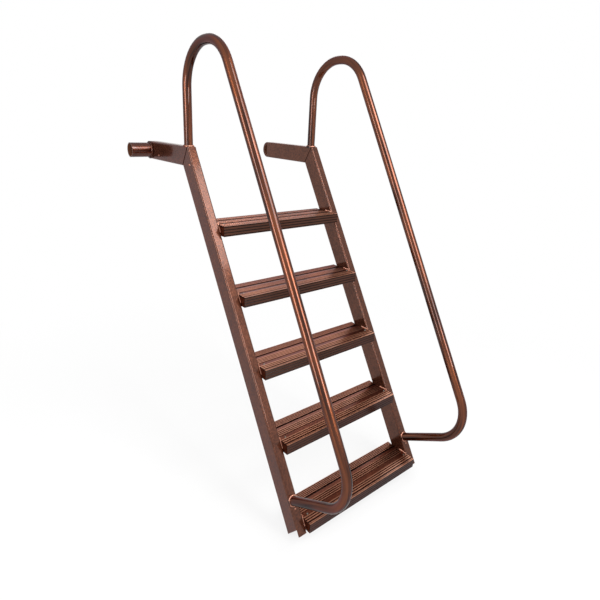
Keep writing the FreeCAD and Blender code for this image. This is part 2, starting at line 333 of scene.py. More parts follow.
@dataclass(frozen=True)
class TreadCoat(AntiqueCopperCoat):
    """The same coat on a ribbed tread, with a painted highlight and some wear on the ribs' lands, and painted
    shade between them and on the nose's face.

    Attributes:
        land_highlight_colour: The bright copper of the front lands and of the nose's edge: some wear, and
            mostly a painted highlight.
        far_land_highlight_colour: The duller copper of the lands at the back, where that painted highlight
            fades.
        dark_line_mm: Where the dark line of painted shade behind the nose's edge starts and ends.
        groove_shade_colour: The dark brown between two ribs: painted shade.
        fascia_shade_colour: The darker brown of the nose's front face: painted shade.
        fascia_cut_shade_colour: The near black in and beside the grooves of that face: painted shade.
        cut_mm: How far from a groove's middle that black is full, and where it ends. It is wider than the
            groove, which would not show alone.
        lowest_cut_mm: How far under the lands the lowest of those grooves runs.
        cut_pitch_mm: Spacing of those grooves.
        fascia_mm: How far behind the nose's front its face's colours reach.
        land_depth_mm: How far down a rib's flank the painted highlight starts, and where it is full.
        floor_depth_mm: How deep the painted shade between the ribs reaches, past the plate between them.
        bands_mm: Where the bands of ribs start and end, behind the nose.
        tread_depth_mm: The tread's size from front to back.
    """

    land_highlight_colour: str = "#be866c"
    far_land_highlight_colour: str = "#845442"
    groove_shade_colour: str = "#3c1d13"
    dark_line_mm: tuple[float, float] = (3.2, 5.4)
    fascia_shade_colour: str = "#4c2a1b"
    fascia_cut_shade_colour: str = "#140804"
    cut_mm: tuple[float, float] = (0.9, 2.6)
    lowest_cut_mm: float = 37.0
    cut_pitch_mm: float = 11.0
    fascia_mm: float = 1.6
    land_depth_mm: tuple[float, float] = (0.9, 0.3)
    floor_depth_mm: float = 5.2
    bands_mm: tuple[tuple[float, float], ...] = ((7.0, 41.0), (59.5, 92.5), (105.5, 146.0))
    tread_depth_mm: float = 146.0

    def bands(self, tree: NodeTree, behind: Socket) -> Socket:
        """Tell the bands of ribs from the smooth strips between them.

        Args:
            tree: The material's node tree.
            behind: How far behind the nose a point lies, as a share of the tread's depth.

        Returns:
            A socket that is 1 in a band.
        """
        node = add_node(tree, "ShaderNodeValToRGB", {"Fac": behind})
        ramp = node.color_ramp
        ramp.interpolation = "CONSTANT"
        ramp.elements[0].color = BLACK
        ramp.elements[1].position = self.bands_mm[0][0] / self.tread_depth_mm
        ramp.elements[1].color = WHITE
        for start, end in self.bands_mm:
            if start > self.bands_mm[0][0]:
                ramp.elements.new(start / self.tread_depth_mm).color = WHITE
            if end < self.tread_depth_mm:
                ramp.elements.new(end / self.tread_depth_mm).color = BLACK
        return node.outputs["Color"]

    def nose_face(self, tree: NodeTree, height: Socket, crest_z: float) -> Socket:
        """Colour the nose's front face with painted shade, near black along its grooves.

        Args:
            tree: The material's node tree.
            height: The Z coordinate.
            crest_z: The lands' height, in metres.

        Returns:
            The colour socket.
        """
        climbed = add_node(tree, "ShaderNodeMath", {
            0: height, 1: crest_z - self.lowest_cut_mm * MM}, operation="SUBTRACT")
        from_cut = add_node(tree, "ShaderNodeMath", {
            0: climbed.outputs["Value"], 1: self.cut_pitch_mm * MM / 2}, operation="PINGPONG")
        clear = add_node(tree, "ShaderNodeMapRange", {
            "Value": from_cut.outputs["Value"],
            "From Min": self.cut_mm[0] * MM, "From Max": self.cut_mm[1] * MM})
        fascia = add_node(tree, "ShaderNodeMix", {
            FACTOR: clear.outputs["Result"], FIRST: linear(self.fascia_cut_shade_colour),
            SECOND: linear(self.fascia_shade_colour)}, data_type="RGBA")
        return fascia.outputs[MIXED]

    def lands(self, tree: NodeTree, depth: Socket, behind: Socket, nose_y: float) -> Socket:
        """Colour the ribs' lands with their painted highlight, duller towards the back, and a dark line of
        painted shade behind the nose's edge.

        Args:
            tree: The material's node tree.
            depth: The Y coordinate.
            behind: How far behind the nose a point lies, as a share of the tread's depth.
            nose_y: The nose's front, in metres.

        Returns:
            The colour socket.
        """
        middle = sum(self.dark_line_mm) / 2
        # The lands' painted highlight, bright at the front and duller towards the back.
        fading_highlight = add_node(tree, "ShaderNodeMix", {
            FACTOR: behind, FIRST: linear(self.land_highlight_colour), SECOND: linear(self.far_land_highlight_colour)},
            data_type="RGBA")
        # A dark line behind the nose's edge, in the grooves' painted shade.
        dark_line = add_node(tree, "ShaderNodeMath", {
            0: depth, 1: nose_y + middle * MM, 2: (self.dark_line_mm[1] - middle) * MM}, operation="COMPARE")
        lined = add_node(tree, "ShaderNodeMix", {
            FACTOR: dark_line.outputs["Value"], FIRST: fading_highlight.outputs[MIXED], SECOND: linear(self.groove_shade_colour)},
            data_type="RGBA")
        return lined.outputs[MIXED]

    def base_colour(self, tree: NodeTree, where: Socket, mottled: Socket, **place: float) -> Socket:
        """Paint a highlight, with some wear, on the lands, and painted shade in the grooves and on the nose's
        face.

        Args:
            tree: The material's node tree.
            where: The Object coordinates.
            mottled: The colour of the grain.
            place: The nose's front, as nose_y, and the lands' height, as crest_z, in metres.

        Returns:
            The colour socket.
        """
        nose_y, crest_z = place["nose_y"], place["crest_z"]
        split = add_node(tree, "ShaderNodeSeparateXYZ", {"Vector": where})
        depth, height = split.outputs["Y"], split.outputs["Z"]
        back_y = nose_y + self.tread_depth_mm * MM
        behind = add_node(tree, "ShaderNodeMapRange", {
            "Value": depth, "From Min": nose_y, "From Max": back_y}).outputs["Result"]
        # Painted shade between the ribs, within the bands, below the lands.
        above = add_node(tree, "ShaderNodeMath", {
            0: height, 1: crest_z - self.floor_depth_mm * MM}, operation="GREATER_THAN")
        groove = add_node(tree, "ShaderNodeMath", {
            0: self.bands(tree, behind), 1: above.outputs["Value"]}, operation="MULTIPLY")
        dark = add_node(tree, "ShaderNodeMix", {
            FACTOR: groove.outputs["Value"], FIRST: mottled, SECOND: linear(self.groove_shade_colour)},
            data_type="RGBA")
        # The nose's front face, in painted shade.
        front = add_node(tree, "ShaderNodeMath", {
            0: depth, 1: nose_y + self.fascia_mm * MM}, operation="LESS_THAN")
        faced = add_node(tree, "ShaderNodeMix", {
            FACTOR: front.outputs["Value"], FIRST: dark.outputs[MIXED],
            SECOND: self.nose_face(tree, height, crest_z)}, data_type="RGBA")
        # The painted highlight, with some wear, on the ribs' lands.
        land = add_node(tree, "ShaderNodeMapRange", {
            "Value": height, "From Min": crest_z - self.land_depth_mm[0] * MM,
            "From Max": crest_z - self.land_depth_mm[1] * MM})
        highlighted = add_node(tree, "ShaderNodeMix", {
            FACTOR: land.outputs["Result"], FIRST: faced.outputs[MIXED],
            SECOND: self.lands(tree, depth, behind, nose_y)}, data_type="RGBA")
        return highlighted.outputs[MIXED]


@dataclass(frozen=True)
class StainlessSteel:
    """Tumbled stainless steel, which shows as a small dull grey dot.

    Attributes:
        colour: The steel's grey.
        roughness: How dull tumbling leaves it.
    """

    colour: str = "#8f8b82"
    roughness: float = 0.38

    def material(self) -> bpy.types.Material:
        """Build the steel's material."""
        material = empty_material("stainless steel screw")
        shader = add_node(material.node_tree, "ShaderNodeBsdfPrincipled", {
            "Base Color": linear(self.colour), "Metallic": 1.0, "Roughness": self.roughness})
        add_node(material.node_tree, "ShaderNodeOutputMaterial", {"Surface": shader.outputs["BSDF"]})
        return material


@dataclass
class Finishes:
    """Every finish on the ladder.

    Attributes:
        coats: The copper coat on each kind of surface.
        tread_coat: The coat on the treads.
        steel: The screws' steel.
    """

    coats: dict[Surface, AntiqueCopperCoat] = field(default_factory=lambda: {
        # Flat walls under a thick coat: broad soft reflections and an even grain.
        Surface.DRAWN_TUBE: AntiqueCopperCoat(
            pit_colour="#412319", copper_colour="#5d3626", edge_colour="#b09080", grain_mm=7.0, cloud_mm=70,
            grain_depth_mm=0.20, roughness=0.25, gloss=0.42, gloss_roughness=0.10, metal=0.72),
        # Pipe polished before it was coated: random light and dark stripes along it, without grain; in part
        # they are painted reflection stripes.
        Surface.ROUND_PIPE: AntiqueCopperCoat(
            pit_colour="#29110a", copper_colour="#6e3b22", edge_colour="#96705f", grain_mm=9.0, cloud_mm=60,
            grain_depth_mm=0.0, roughness=0.30, gloss=0.48, gloss_roughness=0.05, streak=0.03),
        # Short cut pipe: as glossy, and evenly mottled.
        Surface.OPEN_TUBE: OpenTubeCoat(
            pit_colour="#401f15", copper_colour="#5a2f20", edge_colour="#9a7464", grain_mm=6.0, cloud_mm=40,
            grain_depth_mm=0.0, roughness=0.36, gloss=0.60, gloss_roughness=0.05),
        # Cut and ground plate, on which the coat is thin: lighter, warmer and duller.
        Surface.CAP_PLATE: AntiqueCopperCoat(
            pit_colour="#5c2f1f", copper_colour="#905339", edge_colour="#8a5a4a", grain_mm=5.0, cloud_mm=40,
            grain_depth_mm=0.06, roughness=0.40, gloss=0.25, gloss_roughness=0.25),
        # Rippled weld drawn as pale copper beads: a painted highlight for the glint on their crests.
        Surface.WELD: AntiqueCopperCoat(
            pit_colour="#8a5a48", copper_colour="#d09a84", edge_colour="#b08070", grain_mm=2.5, cloud_mm=12,
            grain_depth_mm=0.06, roughness=0.34, gloss=0.30, gloss_roughness=0.15),
        # A joint ground nearly flush, drawn as a thin dark line: painted shade of the mitre's crease.
        Surface.SEAM: AntiqueCopperCoat(
            pit_colour="#1c0c07", copper_colour="#3a1d13", edge_colour="#3a1d13", grain_mm=2.5, cloud_mm=12,
            grain_depth_mm=0.06, roughness=0.45, gloss=0.05, gloss_roughness=0.30),
    })
    # Ribbed extrusion: painted highlights on the ribs and painted shade between them.
    tread_coat: TreadCoat = TreadCoat(
        pit_colour="#5c3123", copper_colour="#7c4937", edge_colour="#7a4a3a", grain_mm=4.0, cloud_mm=80,
        grain_depth_mm=0.06, roughness=0.36, gloss=0.42, gloss_roughness=0.22)
    steel: StainlessSteel = StainlessSteel()

    def build(self) -> dict[Surface, bpy.types.Material]:
        """Make one material for each plain coat.

        Returns:
            The materials by surface.
        """
        return {surface: coat.material("antique copper coat on " + surface.value)
                for surface, coat in self.coats.items()}

    def tread_material(self, tread: str) -> bpy.types.Material:
        """Make the coat of one tread, which follows its ribs.

        Args:
            tread: The tread's node name.

        Returns:
            The material.
        """
        low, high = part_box(tread)
        return self.tread_coat.material(f"rubbed copper coat on {tread}", nose_y=low[1], crest_z=high[2])


@dataclass
class FrameNodes:
    """The ladder's own nodes, and the finish that each takes.

    Attributes:
        surfaces: The surface of each kind of node that isn't a tread.
    """

    surfaces: dict[str, Surface] = field(default_factory=lambda: {
        "rail": Surface.DRAWN_TUBE,
        "arm": Surface.DRAWN_TUBE,
        "nose": Surface.CAP_PLATE,
        "sleeve": Surface.OPEN_TUBE,
        "pivot": Surface.OPEN_TUBE,
        "handrail": Surface.ROUND_PIPE,
    })

    def dress(self, materials: dict[Surface, bpy.types.Material], finishes: Finishes) -> None:
        """Give each node its finish.

        Args:
            materials: The plain coats by surface.
            finishes: What makes the treads' coats.
        """
        for name, node in sorted(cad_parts.items()):
            if name in TREAD_NAMES:
                material = finishes.tread_material(name)
            else:
                material = materials[self.surfaces[name.split("_")[0]]]
            for slot in node.material_slots:
                slot.material = material
            LOG.info("dressed %s in %s", name, material.name)


class Bench:
    """How pieces are started, joined and finished."""

    @staticmethod
    def start() -> None:
        """Leave nothing selected, so that only the next primitive is worked on."""
        if bpy.context.object and bpy.context.object.mode != "OBJECT":
            bpy.ops.object.mode_set(mode="OBJECT")
        bpy.ops.object.select_all(action="DESELECT")

    @staticmethod
    def turned(axis: Vector, place_mm: Vector) -> Matrix:
        """Give the matrix that carries a shape along Z to a place in the row frame.

        Args:
            axis: Where the shape's Z goes.
            place_mm: Where its origin goes.

        Returns:
            A matrix in metres.
        """
        return Matrix.Translation(place_mm * MM) @ axis.to_track_quat("Z", "Y").to_matrix().to_4x4()

    @staticmethod
    def settle(piece: bpy.types.Object, placement: Matrix) -> bpy.types.Object:
        """Move a piece to its place and apply it, so that its object sits at the origin.

        Args:
            piece: The piece, modelled round the origin.
            placement: Where it goes.

        Returns:
            The same piece.
        """
        Bench.start()
        piece.select_set(True)
        bpy.context.view_layer.objects.active = piece
        piece.matrix_world = placement
        bpy.ops.object.transform_apply(location=True, rotation=True, scale=True)
        return piece

    @staticmethod
    def copies(master: bpy.types.Object, shifts_mm: list[Vector]) -> list[bpy.types.Object]:
        """Copy a settled piece, each copy with its own mesh.

        Args:
            master: The piece that is copied.
            shifts_mm: How far each copy stands from it.

        Returns:
            The copies.
        """
        made = []
        for shift in shifts_mm:
            Bench.start()
            master.select_set(True)
            bpy.context.view_layer.objects.active = master
            bpy.ops.object.duplicate(linked=False)
            made.append(Bench.settle(bpy.context.object, Matrix.Translation(shift * MM)))
        return made

    @staticmethod
    def finish(pieces: list[bpy.types.Object], name: str, material: bpy.types.Material, slot: str,
               smooth_deg: float = 40.0) -> bpy.types.Object:
        """Join pieces into one, and give it its name, finish and body.

        Args:
            pieces: The settled pieces.
            name: What the joined piece is called.
            material: Its finish.
            slot: The record's material slot. It is not used.
            smooth_deg: Edges sharper than this stay sharp.

        Returns:
            The joined piece.
        """
        Bench.start()
        for piece in pieces:
            piece.select_set(True)
        bpy.context.view_layer.objects.active = pieces[0]
        if len(pieces) > 1:
            bpy.ops.object.join()
        piece = bpy.context.object
        bpy.ops.object.mode_set(mode="EDIT")
        bpy.ops.mesh.select_all(action="SELECT")
        bpy.ops.mesh.normals_make_consistent(inside=False)
        bpy.ops.object.mode_set(mode="OBJECT")
        bpy.ops.object.shade_smooth_by_angle(angle=math.radians(smooth_deg))
        piece.name = name
        piece.data.name = name
        piece.data.materials.clear()
        piece.data.materials.append(material)
        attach(piece, "root")
        LOG.info("added %s with %d faces", name, len(piece.data.polygons))
        return piece


@dataclass
class WeldBead:
    """A straight run of weld, laid in overlapping ripples.

    Attributes:
        start_mm: The middle of the bead's first end.
        end_mm: The middle of its last end.
        radius_mm: The bead's half width.
        ripple_mm: The pitch of the ripples.
        neck: How far the bead narrows between two ripples.
        blob: How much wider the first ripple is, where the welder started.
        sides: Corners of the bead's section.
        root: Width of the first end, as a share of a neck's.
        tip: Width of the last end.
        shares: Shares of a ripple's length in which it swells, stays wide and narrows.
        sag: Width where it starts to narrow, as a share of its crest's.
    """

    start_mm: Vector
    end_mm: Vector
    radius_mm: float = 3.0
    ripple_mm: float = 3.6
    neck: float = 0.80
    blob: float = 1.0
    sides: int = 10
    root: float = 0.6
    tip: float = 0.5
    shares: tuple[float, float, float] = (0.30, 0.35, 0.35)
    sag: float = 0.96

    def build(self) -> bpy.types.Object:
        """Extrude the bead ripple by ripple.

        Returns:
            The settled bead.
        """
        run = self.end_mm - self.start_mm
        ripples = max(2, round(run.length / self.ripple_mm))
        pitch = run.length / ripples * MM
        width = self.root * self.neck
        Bench.start()
        bpy.ops.mesh.primitive_circle_add(
            vertices=self.sides, radius=self.radius_mm * width * MM, fill_type="NGON")
        bead = bpy.context.object
        bpy.ops.object.mode_set(mode="EDIT")
        bpy.ops.mesh.select_all(action="SELECT")
        for ripple in range(ripples):
            crest = self.blob if ripple == 0 else 1.0
            end = self.tip if ripple == ripples - 1 else self.neck
            for reach, following in zip(self.shares, (crest, crest * self.sag, end)):
                bpy.ops.mesh.extrude_region_move(TRANSFORM_OT_translate={"value": (0, 0, pitch * reach)})
                factor = following / width
                bpy.ops.transform.resize(value=(factor, factor, 1.0))
                width = following
        bpy.ops.object.mode_set(mode="OBJECT")
        return Bench.settle(bead, Bench.turned(run.normalized(), self.start_mm))


@dataclass
class WeldRing:
    """A ring of weld round a tube.

    Attributes:
        centre_mm: The ring's middle.
        axis: The tube's direction.
        tube_radius_mm: The tube's radius.
        bead_mm: The bead's half width.
        ripples: How many ripples go round.
        flank_mm: Half the width of the flat tube that carries it, past which the weld is dressed off.
        seat: How far the bead's middle stands off the tube, as a share of its half width.
        swell: How far a crest stands proud, as a share of that half width.
        crest: How near to its middle a ripple swells, as a share of its length.
        steps: Segments of the ring for each ripple.
        sides: Corners of the bead's section.
    """

    centre_mm: Vector
    axis: Vector
    tube_radius_mm: float
    bead_mm: float = 2.6
    ripples: int = 30
    flank_mm: float | None = None
    seat: float = 0.55
    swell: float = 0.22
    crest: float = 0.1
    steps: int = 3
    sides: int = 8

    def build(self) -> bpy.types.Object:
        """Swell a torus ripple by ripple, and dress off what stands past the flanks.

        Returns:
            The settled ring.
        """
        Bench.start()
        bpy.ops.mesh.primitive_torus_add(
            major_radius=(self.tube_radius_mm + self.bead_mm * self.seat) * MM,
            minor_radius=self.bead_mm * MM,
            major_segments=self.ripples * self.steps, minor_segments=self.sides)
        ring = bpy.context.object
        bpy.ops.object.mode_set(mode="EDIT")
        bpy.ops.mesh.select_all(action="DESELECT")
        bpy.ops.object.mode_set(mode="OBJECT")
        for vertex in ring.data.vertices:
            turn = math.atan2(vertex.co.y, vertex.co.x) * self.ripples / math.tau
            vertex.select = abs(turn - round(turn)) < self.crest
        bpy.ops.object.mode_set(mode="EDIT")
        bpy.ops.transform.shrink_fatten(value=self.bead_mm * self.swell * MM)
        bpy.ops.object.mode_set(mode="OBJECT")
        Bench.settle(ring, Bench.turned(self.axis, self.centre_mm))
        if self.flank_mm is not None:
            for sign in (-1.0, 1.0):
                bpy.ops.object.mode_set(mode="EDIT")
                bpy.ops.mesh.select_all(action="SELECT")
                bpy.ops.mesh.bisect(
                    plane_co=((self.centre_mm.x + sign * self.flank_mm) * MM, 0, 0), plane_no=(sign, 0, 0),
                    clear_outer=True, use_fill=True)
                bpy.ops.object.mode_set(mode="OBJECT")
        return ring


@dataclass
class RoundHead:
    """A small round fastener head, or the rim of a weep hole.

    Attributes:
        centre_mm: Where it stands on its face.
        axis: The face's outward direction.
        radius_mm: The head's radius.
        height_mm: How far it stands proud.
        recess_mm: Depth of the recess in its top.
        rim: The recess's radius, as a share of the head's.
        sides: Corners of its outline.
        shoulder: Radius of its top's edge, as a share of the head's.
        dome: How far the top rises from that edge to the recess, as a share of the height.
        taper: The recess's radius at its floor, as a share of that at its rim.
    """

    centre_mm: Vector
    axis: Vector
    radius_mm: float
    height_mm: float
    recess_mm: float
    rim: float = 0.5
    sides: int = 16
    shoulder: float = 0.8
    dome: float = 0.25
    taper: float = 0.85

    def build(self) -> bpy.types.Object:
        """Round off a short cylinder and sink its recess.

        Returns:
            The settled head.
        """
        Bench.start()
        bpy.ops.mesh.primitive_cylinder_add(
            vertices=self.sides, radius=self.radius_mm * MM, depth=self.height_mm * MM,
            location=(0, 0, self.height_mm / 2 * MM))
        head = bpy.context.object
        bpy.ops.object.transform_apply(location=True, rotation=False, scale=False)
        bpy.ops.object.mode_set(mode="EDIT")
        bpy.ops.mesh.select_all(action="DESELECT")
        bpy.ops.object.mode_set(mode="OBJECT")
        for face in head.data.polygons:
            face.select = face.normal.z > LOOKS_UP
        bpy.ops.object.mode_set(mode="EDIT")
        bpy.ops.mesh.select_mode(type="FACE")
        bpy.ops.transform.resize(value=(self.shoulder, self.shoulder, 1.0))
        bpy.ops.mesh.inset(
            thickness=self.radius_mm * (self.shoulder - self.rim) * MM, depth=self.height_mm * self.dome * MM)
        bpy.ops.mesh.extrude_region_move(TRANSFORM_OT_translate={"value": (0, 0, -self.recess_mm * MM)})
        bpy.ops.transform.resize(value=(self.taper, self.taper, 1.0))
        bpy.ops.mesh.select_mode(type="VERT")
        bpy.ops.object.mode_set(mode="OBJECT")
        return Bench.settle(head, Bench.turned(self.axis, self.centre_mm))


@dataclass
class TreadFittings:
    """What stands on each tread: its welds to the rails and its screws.

    Attributes:
        weld_span_mm: Where the top weld starts and ends, behind the nose.
        weld_lift_mm: How far its middle lies above the plate.
        weld_radius_mm: Its half width.
        weld_blob: How much wider its first ripple is.
        weld_off_mm: How far the middles of both welds stand off the rail's inner face.
        cap_weld_mm: Length of the weld down the rail's front edge, beside the nose.
        cap_weld_inset_mm: How far that weld lies behind the rail's front face.
        cap_weld_radius_mm: Its half width.
        cap_weld_blob: How much wider its first ripple is.
        screw_behind_mm: How far behind the nose the screws stand.
        screw_insets_mm: How far the left and the right screw stand from the rails.
        screw_mm: Radius, height and recess of a screw's head.
        plate_depth_mm: How far the plate lies under the ribs' lands.
    """

    weld_span_mm: tuple[float, float] = (43.0, 80.0)
    weld_lift_mm: float = 3.5
    weld_radius_mm: float = 4.2
    weld_blob: float = 1.3
    weld_off_mm: float = 0.8
    cap_weld_mm: float = 38.0
    cap_weld_inset_mm: float = 3.5
    cap_weld_radius_mm: float = 3.8
    cap_weld_blob: float = 1.2
    screw_behind_mm: float = 46.0
    screw_insets_mm: tuple[float, float] = (26.0, 12.0)
    screw_mm: tuple[float, float, float] = (3.6, 1.8, 1.2)
    plate_depth_mm: float = 2.5

    def welds(self, nose: Vector) -> list[bpy.types.Object]:
        """Lay the welds of one tread.

        Args:
            nose: The tread's top front edge, in mm.

        Returns:
            The beads.
        """
        beads = []
        for side in Side:
            x = side.inner_face() - side.outward * self.weld_off_mm
            top = nose.z - self.plate_depth_mm + self.weld_lift_mm
            start, end = [Vector((x, nose.y + behind, top)) for behind in self.weld_span_mm]
            beads.append(WeldBead(start, end, self.weld_radius_mm, blob=self.weld_blob).build())
            drop = RAIL_CORNER.z - top - self.weld_lift_mm
            face = RAIL_CORNER + RAIL_DOWN * (drop / math.cos(LEAN))
            first = Vector((x, face.y, face.z)) - RAIL_OUT * self.cap_weld_inset_mm
            last = first + RAIL_DOWN * self.cap_weld_mm
            beads.append(WeldBead(first, last, self.cap_weld_radius_mm, blob=self.cap_weld_blob).build())
        return beads

    def screws(self, nose: Vector) -> list[bpy.types.Object]:
        """Drive the screws of one tread.

        Args:
            nose: The tread's top front edge, in mm.

        Returns:
            The screw heads.
        """
        heads = []
        for side, inset in zip(Side, self.screw_insets_mm):
            place = Vector((side.inner_face() - side.outward * inset, nose.y + self.screw_behind_mm,
                            nose.z - self.plate_depth_mm))
            heads.append(RoundHead(place, Vector((0, 0, 1)), *self.screw_mm).build())
        return heads

    def build(self, weld: bpy.types.Material, steel: bpy.types.Material) -> None:
        """Fit the first tread, and copy its fittings to the others.

        Args:
            weld: The finish of the welds.
            steel: The finish of the screws.
        """
        noses = []
        for tread in TREAD_NAMES:
            low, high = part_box(tread)
            noses.append(Vector((0, low[1], high[2])) / MM)
        shifts = [nose - noses[0] for nose in noses[1:]]
        beads = self.welds(noses[0])
        heads = self.screws(noses[0])
        bead_sets = [beads] + [[] for _ in shifts]
        head_sets = [heads] + [[] for _ in shifts]
        for sets, masters in ((bead_sets, beads), (head_sets, heads)):
            for master in masters:
                for number, copy in enumerate(Bench.copies(master, shifts), start=1):
                    sets[number].append(copy)
        for tread, bead_set, head_set in zip(TREAD_NAMES, bead_sets, head_sets):
            Bench.finish(bead_set, tread + "_welds", weld, "tread_extrusion", WELD_SMOOTH_DEG)
            Bench.finish(head_set, tread + "_screws", steel, "tread_extrusion")


@dataclass
class RailFittings:
    """What stands on a rail and its arm: mitre seams, weld rings, a rivet and weep holes.

    Attributes:
        seam_radius_mm: Half width of the mitre's seam.
        seam_ripple_mm: The pitch of its ripples.
        seam_neck: How far it narrows between them.
        seam_sides: Corners of its section.
        seam_low_mm: How far above the arm's underside it starts.
        seam_back_mm: How far behind the rail's top corner it ends.
        seam_drop_mm: How far under that corner it ends.
        handrail_radius_mm: The handrail's radius.
        ring_bead_mm: Half width of the rings of weld.
        ring_off_mm: How far the rings round the handrail stand off the rail.
        flank_clear_mm: How far inside the rail's flanks those rings are dressed off.
        post_setback_mm: How far behind the top corner the handrail's post stands.
        tail_mm: How far down the rail the handrail's tail lands.
        pivot_place_mm: Y and Z of the pivot's axis.
        pivot_radius_mm: The pivot tube's radius.
        pivot_ripples: How many ripples its ring has.
        pivot_ring_off_mm: How far that ring stands off the sleeve.
        sleeve_proud_mm: How far the sleeve stands out of the arm.
        rivet_place_mm: Y and Z of the rivet on the arm's outer face.
        weep_place_mm: Y and Z of the weep hole under the mitre.
        foot_weep_mm: How far down the rail's front the lower weep hole is.
    """

    seam_radius_mm: float = 1.5
    seam_ripple_mm: float = 4.0
    seam_neck: float = 0.9
    seam_sides: int = 8
    seam_low_mm: float = 1.5
    seam_back_mm: float = 2.0
    seam_drop_mm: float = 4.0
    handrail_radius_mm: float = 17.0
    ring_bead_mm: float = 3.0
    ring_off_mm: float = 1.2
    flank_clear_mm: float = 0.4
    post_setback_mm: float = 25.0
    tail_mm: float = 1378.0
    pivot_place_mm: tuple[float, float] = (150.0, 37.5)
    pivot_radius_mm: float = 30.15
    pivot_ripples: int = 44
    pivot_ring_off_mm: float = 0.8
    sleeve_proud_mm: float = 4.0
    rivet_place_mm: tuple[float, float] = (65.0, 21.0)
    weep_place_mm: tuple[float, float] = (-215.0, 8.0)
    foot_weep_mm: float = 1407.0

    def seams(self, side: Side) -> list[bpy.types.Object]:
        """Lay the mitre's seam on both faces of one side.

        Args:
            side: The side of the ladder.

        Returns:
            The seams.
        """
        mitre_y = RAIL_CORNER.y + STOCK_DEPTH * (1 - math.sin(LEAN)) / math.cos(LEAN)
        low = Vector((0, mitre_y, self.seam_low_mm))
        high = Vector((0, RAIL_CORNER.y + self.seam_back_mm, RAIL_CORNER.z - self.seam_drop_mm))
        made = []
        for face in (side.inner_face(), side.outer_face()):
            across = Vector((face, 0, 0))
            made.append(WeldBead(
                low + across, high + across, self.seam_radius_mm, self.seam_ripple_mm, self.seam_neck,
                sides=self.seam_sides).build())
        return made

    def rings(self, side: Side) -> list[bpy.types.Object]:
        """Lay the rings of weld round the handrail's ends.

        Args:
            side: The side of the ladder.

        Returns:
            The rings.
        """
        across = Vector((side.rail_x, 0, 0))
        post = Vector((side.rail_x, RAIL_CORNER.y + self.post_setback_mm, RAIL_CORNER.z + self.ring_off_mm))
        tail = RAIL_CORNER + RAIL_DOWN * self.tail_mm + RAIL_OUT * self.ring_off_mm + across
        flank = STOCK_WIDTH / 2 - self.flank_clear_mm
        return [WeldRing(centre, axis, self.handrail_radius_mm, self.ring_bead_mm, flank_mm=flank).build()
                for centre, axis in ((post, Vector((0, 0, 1))), (tail, RAIL_OUT))]

    def pivot_ring(self, side: Side) -> list[bpy.types.Object]:
        """Lay the ring of weld round the pivot tube.

        Args:
            side: The side of the ladder.

        Returns:
            The ring.
        """
        x = side.outer_face() + side.outward * (self.sleeve_proud_mm + self.pivot_ring_off_mm)
        return [WeldRing(Vector((x, *self.pivot_place_mm)), Vector((1, 0, 0)), self.pivot_radius_mm,
                         self.ring_bead_mm, self.pivot_ripples).build()]

    def dots(self, side: Side) -> list[bpy.types.Object]:
        """Set the rivet and the weep holes of one side.

        Args:
            side: The side of the ladder.

        Returns:
            The rivet's head and the holes' rims.
        """
        out = Vector((side.outward, 0, 0))
        rivet = Vector((side.outer_face(), *self.rivet_place_mm))
        weep = Vector((side.outer_face(), *self.weep_place_mm))
        foot = RAIL_CORNER + RAIL_DOWN * self.foot_weep_mm + Vector((side.rail_x, 0, 0))
        return [
            RoundHead(rivet, out, radius_mm=3.6, height_mm=1.6, recess_mm=0.6, rim=0.35).build(),
            RoundHead(weep, out, radius_mm=4.2, height_mm=0.8, recess_mm=0.9, rim=0.62).build(),
            RoundHead(foot, RAIL_OUT, radius_mm=3.6, height_mm=0.8, recess_mm=0.9, rim=0.6).build(),
        ]

    def build(self, materials: dict[Surface, bpy.types.Material]) -> None:
        """Fit both rails.

        Args:
            materials: The coats by surface.
        """
        seam, weld, pipe = materials[Surface.SEAM], materials[Surface.WELD], materials[Surface.ROUND_PIPE]
        for side in Side:
            end = "_" + side.value
            # The mitre seams are a thin line of painted shade.
            Bench.finish(self.seams(side), "mitre_seam" + end, seam, "rail_tube", WELD_SMOOTH_DEG)
            Bench.finish(self.rings(side), "handrail_welds" + end, weld, "round_tube", WELD_SMOOTH_DEG)
            Bench.finish(self.pivot_ring(side), "pivot_weld" + end, pipe, "round_tube", WELD_SMOOTH_DEG)
            # The rivet and the weep holes' rims take the weld's pale copper, a painted highlight.
            Bench.finish(self.dots(side), "rivet_and_weep_holes" + end, weld, "rail_tube")


@dataclass
class Lamp:
    """One soft rectangular lamp.

    Attributes:
        name: The lamp's name.
        place: Where it hangs, in metres.
        target: The point that it faces.
        size: Its width and height.
        watts: Its power.
        lean_deg: How far it is rolled to the left, as seen from its back.
    """

    name: str
    place: tuple[float, float, float]
    target: tuple[float, float, float]
    size: tuple[float, float]
    watts: float
    lean_deg: float = 0.0

    def build(self) -> None:
        """Hang the lamp."""
        data = bpy.data.lights.new(self.name, "AREA")
        data.shape = "RECTANGLE"
        data.size, data.size_y = self.size
        data.energy = self.watts
        lamp = bpy.data.objects.new(self.name, data)
        lamp.visible_camera = False
        aim = Vector(self.target) - Vector(self.place)
        facing = aim.to_track_quat("-Z", "Y").to_matrix().to_4x4()
        roll = Matrix.Rotation(math.radians(self.lean_deg), 4, "Z")
        lamp.matrix_world = Matrix.Translation(Vector(self.place)) @ facing @ roll
        bpy.context.scene.collection.objects.link(lamp)


